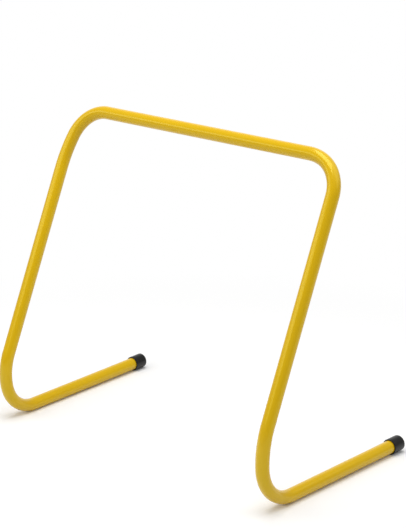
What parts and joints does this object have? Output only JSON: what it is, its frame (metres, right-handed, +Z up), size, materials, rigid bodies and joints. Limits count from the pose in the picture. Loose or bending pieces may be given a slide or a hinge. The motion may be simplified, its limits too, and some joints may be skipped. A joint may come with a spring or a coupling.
{
  "type": "speed hurdle",
  "caption": "Low training hurdle bent from plastic tube: leaning legs, a straight crossbar and long feet that lie on the floor, closed by slip-over end caps.",
  "frame": {"origin": "on the floor, under the middle of the hurdle's bounding box", "axes": "+X along the crossbar, +Y along the feet from the bends to the capped ends, +Z up"},
  "size_m": [0.5182, 0.3039, 0.45],
  "materials": {
    "tube": "satin extruded rigid PVC, yellow",
    "cap": "matte moulded soft vinyl, black"
  },
  "bodies": {
    "frame": {"frame_tube": "tube"},
    "left_cap": {"end_cap_left": "cap"},
    "right_cap": {"end_cap_right": "cap"}
  },
  "joints": [
    {"name": "left_cap_pull", "type": "slide", "parent": "frame", "child": "left_cap", "axis": [-0.0227, 0.9997, 0.0082], "range_m": [0, 0.03]},
    {"name": "right_cap_pull", "type": "slide", "parent": "frame", "child": "right_cap", "axis": [0.0227, 0.9997, 0.0084], "range_m": [0, 0.03]}
  ]
}
